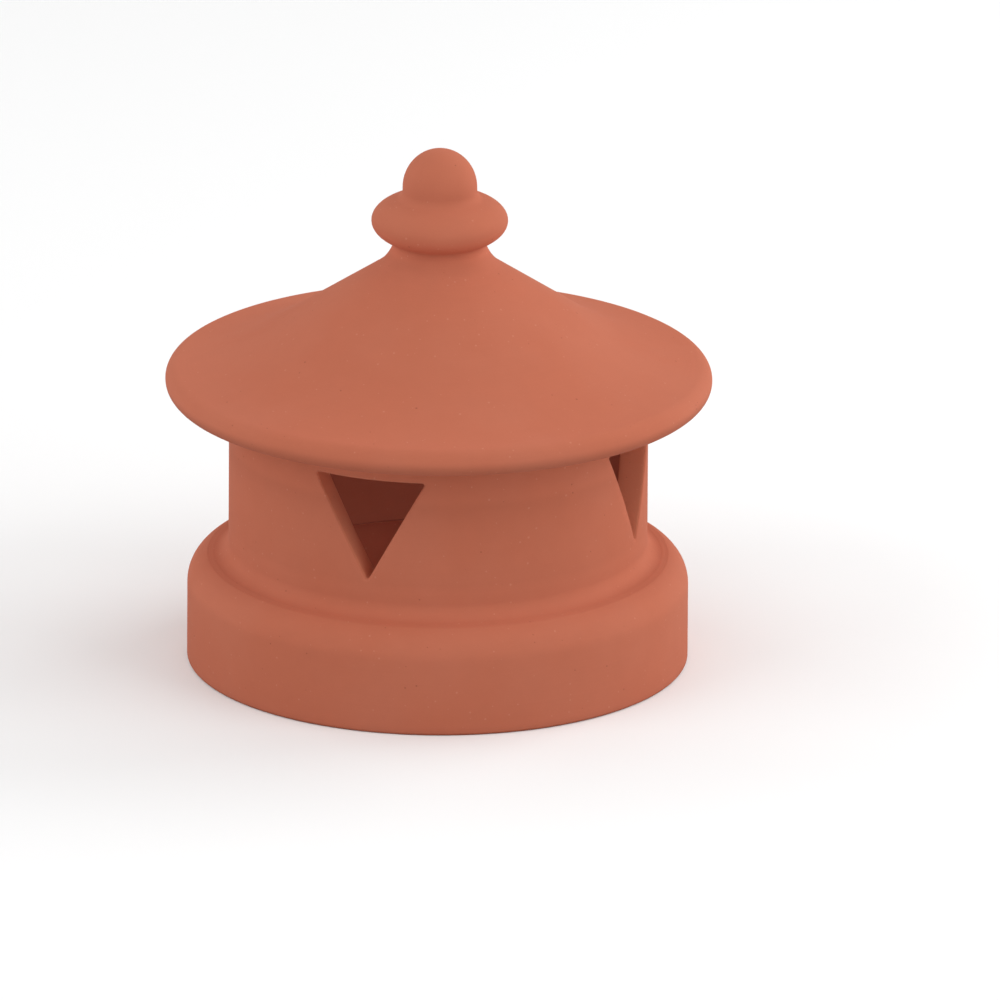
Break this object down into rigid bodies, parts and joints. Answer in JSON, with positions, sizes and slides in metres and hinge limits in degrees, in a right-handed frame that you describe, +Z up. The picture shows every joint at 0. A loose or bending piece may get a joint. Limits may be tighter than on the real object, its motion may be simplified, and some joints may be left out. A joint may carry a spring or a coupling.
{
  "type": "chimney pot",
  "caption": "Low hooded chimney pot of terracotta: a collar that slips over the flue, a vented drum, a conical rain hat and a knob finial.",
  "frame": {"origin": "centre of the collar's underside", "axes": "+Z up the pot's axis to the knob; one opening faces each of +X, +Y, -X and -Y"},
  "size_m": [0.261, 0.261, 0.254],
  "materials": {
    "terracotta": "smooth matt fired clay, unglazed"
  },
  "bodies": {
    "root": {"chimney_pot": "terracotta"}
  },
  "joints": []
}
